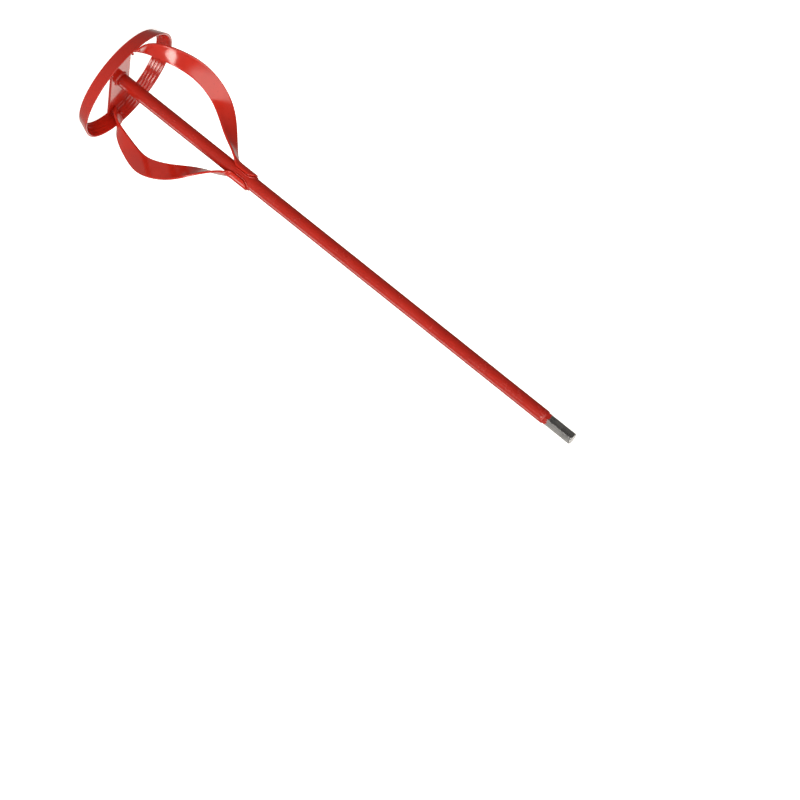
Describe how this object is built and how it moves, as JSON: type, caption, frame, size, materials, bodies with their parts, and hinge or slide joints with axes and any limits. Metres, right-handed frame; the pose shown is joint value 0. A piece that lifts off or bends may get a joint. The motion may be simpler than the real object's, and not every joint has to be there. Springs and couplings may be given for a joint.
{
  "type": "mortar mixing paddle",
  "caption": "Welded steel mixing paddle for mortar: round shaft with hex shank, spiral ribbon blades and a flared ring tied by a flat crossbar, in red enamel.",
  "frame": {"origin": "Centre of the ring's foot, on the surface that the paddle stands on with its shaft upright", "axes": "+Z along the shaft from the ring to the tip of the shank, +X along the crossbar across the ring"},
  "size_m": [0.1096, 0.1096, 0.5],
  "materials": {
    "shaft_enamel": "glossy",
    "ring_enamel": "glossy",
    "blade_enamel": "glossy",
    "weld_enamel": "glossy",
    "shank_steel": "satin"
  },
  "bodies": {
    "root": {"shaft_tube": "shaft_enamel", "hex_shank": "shank_steel", "ring": "ring_enamel", "crossbar": "ring_enamel", "blade_a": "blade_enamel", "blade_b": "blade_enamel", "shank_weld": "weld_enamel", "foot_weld": "weld_enamel", "ring_seam_weld": "weld_enamel", "lug_weld_a": "weld_enamel", "lug_weld_b": "weld_enamel", "blade_foot_weld_a": "weld_enamel", "blade_foot_weld_b": "weld_enamel", "crossbar_weld_a": "weld_enamel", "crossbar_weld_b": "weld_enamel"}
  },
  "joints": []
}
